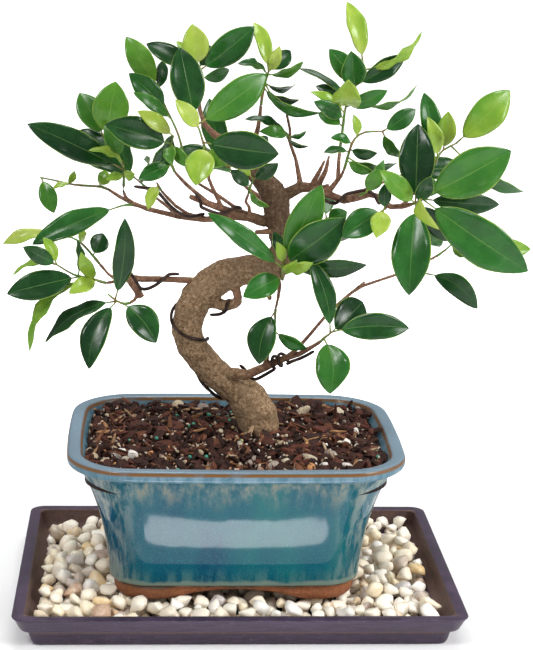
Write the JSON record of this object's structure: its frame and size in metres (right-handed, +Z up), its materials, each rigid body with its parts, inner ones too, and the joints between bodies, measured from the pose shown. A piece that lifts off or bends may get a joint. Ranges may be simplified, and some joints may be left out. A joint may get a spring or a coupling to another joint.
{
  "type": "potted bonsai tree",
  "caption": "Small ficus bonsai with a curved trunk and wired branches in a glazed footed pot, standing on a shallow tray filled with pebbles.",
  "frame": {"origin": "centre of the tray's underside, on the surface the whole part stands on", "axes": "+Z up; +X to the viewer's right along the tray's and the pot's length; -Y toward the tree's front, the side it's meant to be seen from"},
  "size_m": [0.3275, 0.1937, 0.3646],
  "materials": {
    "tray_plastic": "satin dark purple-brown plastic",
    "pebbles": "tumbled white and cream quartz",
    "pot_glaze": "glossy mottled teal-blue glaze, bare terracotta feet",
    "soil": "dark bark chips, grit and small stones",
    "bark": "pitted taupe bark, darker on the young branches",
    "foliage": null,
    "wire": "dark brown anodised training wire"
  },
  "bodies": {
    "root": {"bonsai_pot": "pot_glaze", "humidity_tray": "tray_plastic", "pebble_bed": "pebbles", "shoot_crown_left": "foliage", "shoot_crown_middle": "foliage", "shoot_crown_right": "foliage", "shoot_dead_twig_leaves": "foliage", "shoot_front": "foliage", "shoot_hanging": "foliage", "shoot_hub_front": "foliage", "shoot_hub_left": "foliage", "shoot_hub_rear": "foliage", "shoot_left_droop": "foliage", "shoot_left_far": "foliage", "shoot_left_lime": "foliage", "shoot_left_low": "foliage", "shoot_left_middle": "foliage", "shoot_left_under": "foliage", "shoot_left_upper": "foliage", "shoot_lower_right_end": "foliage", "shoot_middle": "foliage", "shoot_rear_far_left": "foliage", "shoot_rear_far_right": "foliage", "shoot_rear_middle": "foliage", "shoot_rear_top": "foliage", "shoot_right_drop": "foliage", "shoot_right_end": "foliage", "shoot_right_low": "foliage", "shoot_right_olive": "foliage", "shoot_right_spray": "foliage", "shoot_right_top": "foliage", "shoot_right_twig_end": "foliage", "soil": "soil", "tree_wood": "bark", "wire_left": "wire", "wire_left_low": "wire", "wire_loop": "wire", "wire_lower_right": "wire", "wire_right": "wire", "wire_trunk": "wire", "wire_upper_left": "wire"}
  },
  "joints": []
}
